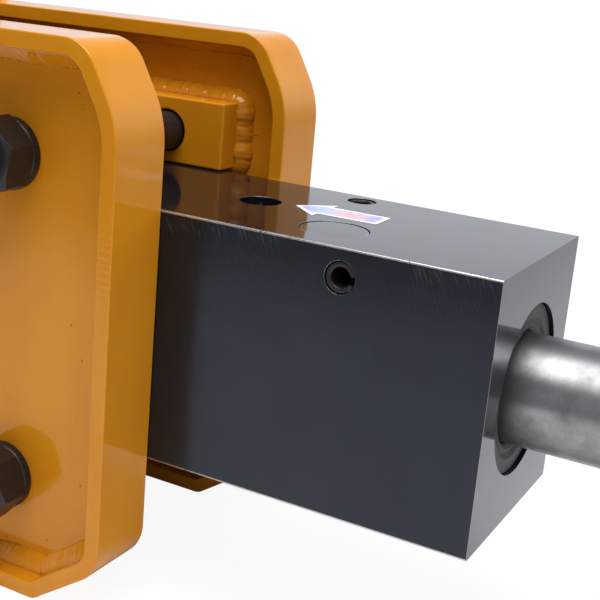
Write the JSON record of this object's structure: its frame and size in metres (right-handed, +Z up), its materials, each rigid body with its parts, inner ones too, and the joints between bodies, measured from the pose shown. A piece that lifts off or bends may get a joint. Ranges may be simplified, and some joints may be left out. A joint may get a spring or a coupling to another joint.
{
  "type": "hydraulic breaker",
  "caption": "Side-plate hydraulic breaker: black impact body with sliding chisel, clamped by cross bolts between two rimmed yellow plates with pin hubs.",
  "frame": {"origin": "On the ground under the plates' front edges, midway between the two plates; the breaker lies on the lower edges of its plates.", "axes": "+X along the tool towards its point, +Y to the far plate, +Z up"},
  "size_m": [1.8, 0.408, 0.645],
  "materials": {
    "plate_paint": "glossy orange-yellow enamel over welded plate",
    "body_paint": "glossy black paint over machined steel",
    "black_steel": "black oxide",
    "tool_steel": "dark forged and turned alloy steel",
    "polished_steel": "ground and polished",
    "bronze": "turned bronze",
    "seal_rubber": "matt black nitrile rubber",
    "zinc_plate": "zinc plated"
  },
  "bodies": {
    "breaker_body": {"near_plate_rim": "plate_paint", "near_plate_web": "plate_paint", "near_bolt_pad_front_lower": "plate_paint", "near_side_nut_front_lower": "black_steel", "near_bolt_pad_front_upper": "plate_paint", "near_side_nut_front_upper": "black_steel", "near_pin_hub_front": "plate_paint", "near_pin_bush_front": "bronze", "near_bolt_pad_rear_lower": "plate_paint", "near_side_nut_rear_lower": "black_steel", "near_bolt_pad_rear_upper": "plate_paint", "near_side_nut_rear_upper": "black_steel", "near_pin_hub_rear": "plate_paint", "near_pin_bush_rear": "bronze", "far_plate_rim": "plate_paint", "far_plate_web": "plate_paint", "far_bolt_pad_front_lower": "plate_paint", "far_side_nut_front_lower": "black_steel", "far_bolt_pad_front_upper": "plate_paint", "far_side_nut_front_upper": "black_steel", "far_pin_hub_front": "plate_paint", "far_pin_bush_front": "bronze", "far_bolt_pad_rear_lower": "plate_paint", "far_side_nut_rear_lower": "black_steel", "far_bolt_pad_rear_upper": "plate_paint", "far_side_nut_rear_upper": "black_steel", "far_pin_hub_rear": "plate_paint", "far_pin_bush_rear": "bronze", "side_stud_front_lower": "black_steel", "side_stud_front_upper": "black_steel", "side_stud_rear_lower": "black_steel", "side_stud_rear_upper": "black_steel", "front_head": "body_paint", "cylinder": "body_paint", "back_head": "body_paint", "tie_bolt_near_lower": "black_steel", "tie_bolt_near_upper": "black_steel", "tie_bolt_far_lower": "black_steel", "tie_bolt_far_upper": "black_steel", "lower_bush": "bronze", "dust_seal": "seal_rubber", "upper_bush": "bronze", "rod_pin": "black_steel", "rod_pin_lock": "black_steel", "bush_lock": "black_steel", "grease_nipple": "zinc_plate", "seal_retainer": "bronze", "gas_valve": "zinc_plate", "valve_chest": "body_paint", "valve_cover": "body_paint", "valve_screw_near_lower": "black_steel", "valve_screw_near_upper": "black_steel", "valve_screw_far_lower": "black_steel", "valve_screw_far_upper": "black_steel", "near_port_adapter": "zinc_plate", "far_port_adapter": "zinc_plate"},
    "tool": {"chisel": "tool_steel"},
    "striker": {"piston": "polished_steel"},
    "spool": {"valve_spool": "polished_steel"}
  },
  "joints": [
    {"name": "tool_slide", "type": "slide", "parent": "breaker_body", "child": "tool", "axis": [1, 0, 0], "range_m": [-0.045, 0]},
    {"name": "piston_stroke", "type": "slide", "parent": "breaker_body", "child": "striker", "axis": [1, 0, 0], "range_m": [-0.09, 0]},
    {"name": "valve_shift", "type": "slide", "parent": "breaker_body", "child": "spool", "axis": [1, 0, 0], "range_m": [0, 0.012]}
  ]
}
